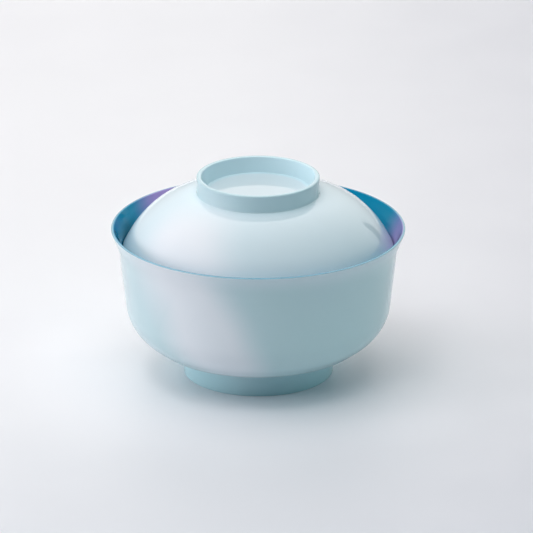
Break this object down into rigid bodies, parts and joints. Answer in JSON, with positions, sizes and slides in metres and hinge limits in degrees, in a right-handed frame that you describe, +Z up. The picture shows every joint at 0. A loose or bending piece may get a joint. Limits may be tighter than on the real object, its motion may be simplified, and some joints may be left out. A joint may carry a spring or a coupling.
{
  "type": "lidded soup bowl",
  "caption": "Lacquered soup bowl with a turned foot and a flared lip, and a domed lid with a grip ring that nests inside the lip and lifts straight off.",
  "frame": {"origin": "centre of the foot's resting face", "axes": "+Z up along the axis that the bowl and its lid are turned about; X and Y are free"},
  "size_m": [0.12, 0.12, 0.0843],
  "materials": {
    "turned_core": "smooth turned wood, bare only on the foot's resting edge",
    "outside_lacquer": "glossy pale aqua lacquer with a soft lilac bloom",
    "inside_lacquer": "glossy teal blue lacquer with soft violet clouds"
  },
  "bodies": {
    "bowl": {"bowl_core": "turned_core", "bowl_outside_coat": "outside_lacquer", "foot_recess_coat": "outside_lacquer", "bowl_inside_coat": "inside_lacquer"},
    "lid": {"lid_core": "turned_core", "lid_outside_coat": "outside_lacquer", "lid_inside_coat": "inside_lacquer"}
  },
  "joints": [
    {"name": "lid_lift", "type": "slide", "parent": "bowl", "child": "lid", "axis": [0, 0, 1], "range_m": [0, 0.08]}
  ]
}
